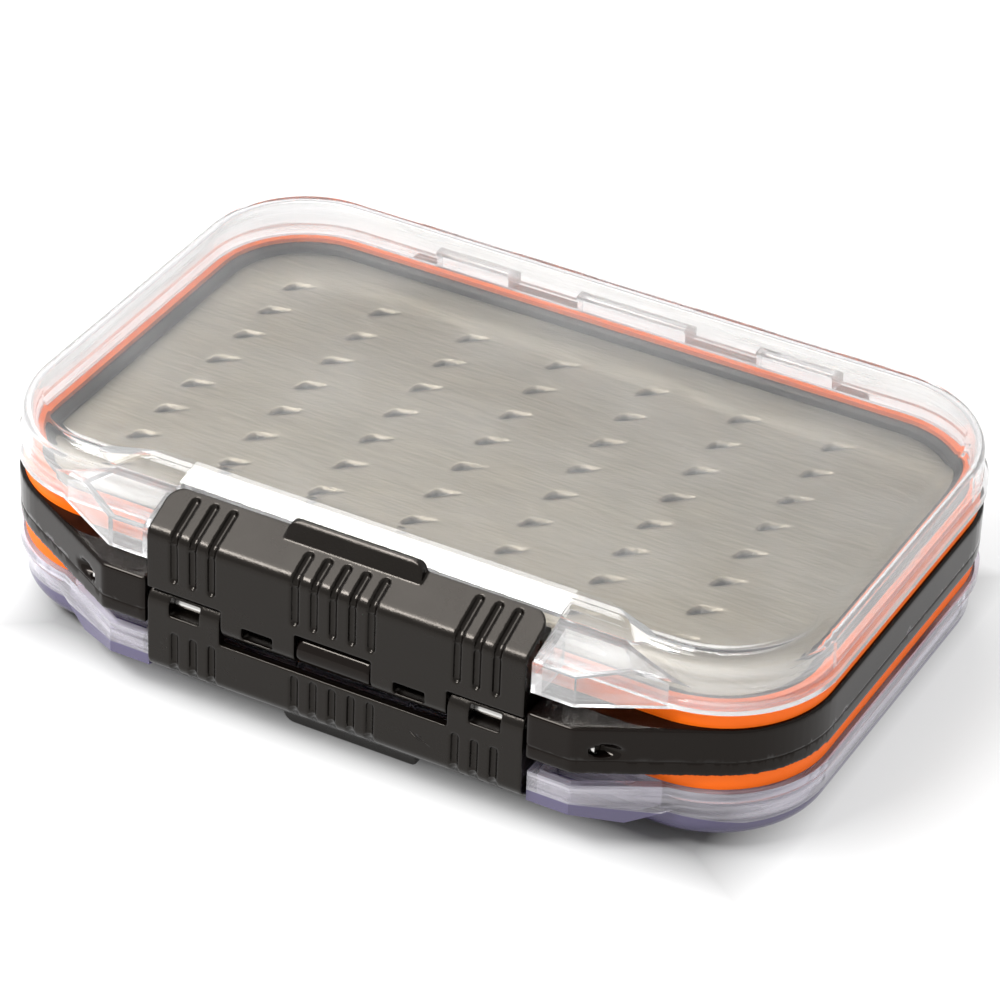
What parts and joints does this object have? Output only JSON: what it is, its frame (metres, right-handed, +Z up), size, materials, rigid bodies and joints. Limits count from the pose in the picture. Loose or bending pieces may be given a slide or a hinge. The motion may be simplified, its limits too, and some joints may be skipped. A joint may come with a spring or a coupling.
{
  "type": "fly box",
  "caption": "Double-sided waterproof fly box: two hinged clear lids over slit inserts on a sealed centre frame, each held by a snap latch.",
  "frame": {"origin": "centre of the bounding box's bottom, level with the tip of the lower latch's finger tab", "axes": "+X along the box, -Y towards the latches, +Z up through both lids"},
  "size_m": [0.152, 0.1108, 0.041],
  "materials": {
    "frame": "glossy black moulded plastic",
    "seal": "orange silicone rubber",
    "pad": "dark closed-cell foam",
    "sheet": "brushed metal-faced film",
    "upper_lid": "clear polycarbonate",
    "lower_lid": "clear polycarbonate with a violet edge tint",
    "latch": "satin black moulded plastic",
    "pin": "bright steel"
  },
  "bodies": {
    "frame_body": {"frame": "frame", "upper_seal": "seal", "lower_seal": "seal", "upper_pad": "pad", "lower_pad": "pad", "upper_sheet": "sheet", "lower_sheet": "sheet", "latch_pin": "pin", "upper_hinge_pin": "pin", "lower_hinge_pin": "pin"},
    "upper_lid_body": {"upper_lid": "upper_lid"},
    "lower_lid_body": {"lower_lid": "lower_lid"},
    "upper_latch_body": {"upper_latch": "latch"},
    "lower_latch_body": {"lower_latch": "latch"}
  },
  "joints": [
    {"name": "upper_lid_hinge", "type": "hinge", "parent": "frame_body", "child": "upper_lid_body", "pos_m": [0, 0.05315, 0.0257], "axis": [-1, 0, 0], "range_deg": [0, 120]},
    {"name": "lower_lid_hinge", "type": "hinge", "parent": "frame_body", "child": "lower_lid_body", "pos_m": [0, 0.05315, 0.0153], "axis": [1, 0, 0], "range_deg": [0, 120]},
    {"name": "upper_latch_hinge", "type": "hinge", "parent": "frame_body", "child": "upper_latch_body", "pos_m": [0, -0.05245, 0.0205], "axis": [1, 0, 0], "range_deg": [0, 45]},
    {"name": "lower_latch_hinge", "type": "hinge", "parent": "frame_body", "child": "lower_latch_body", "pos_m": [0, -0.05245, 0.0205], "axis": [-1, 0, 0], "range_deg": [0, 45]}
  ]
}
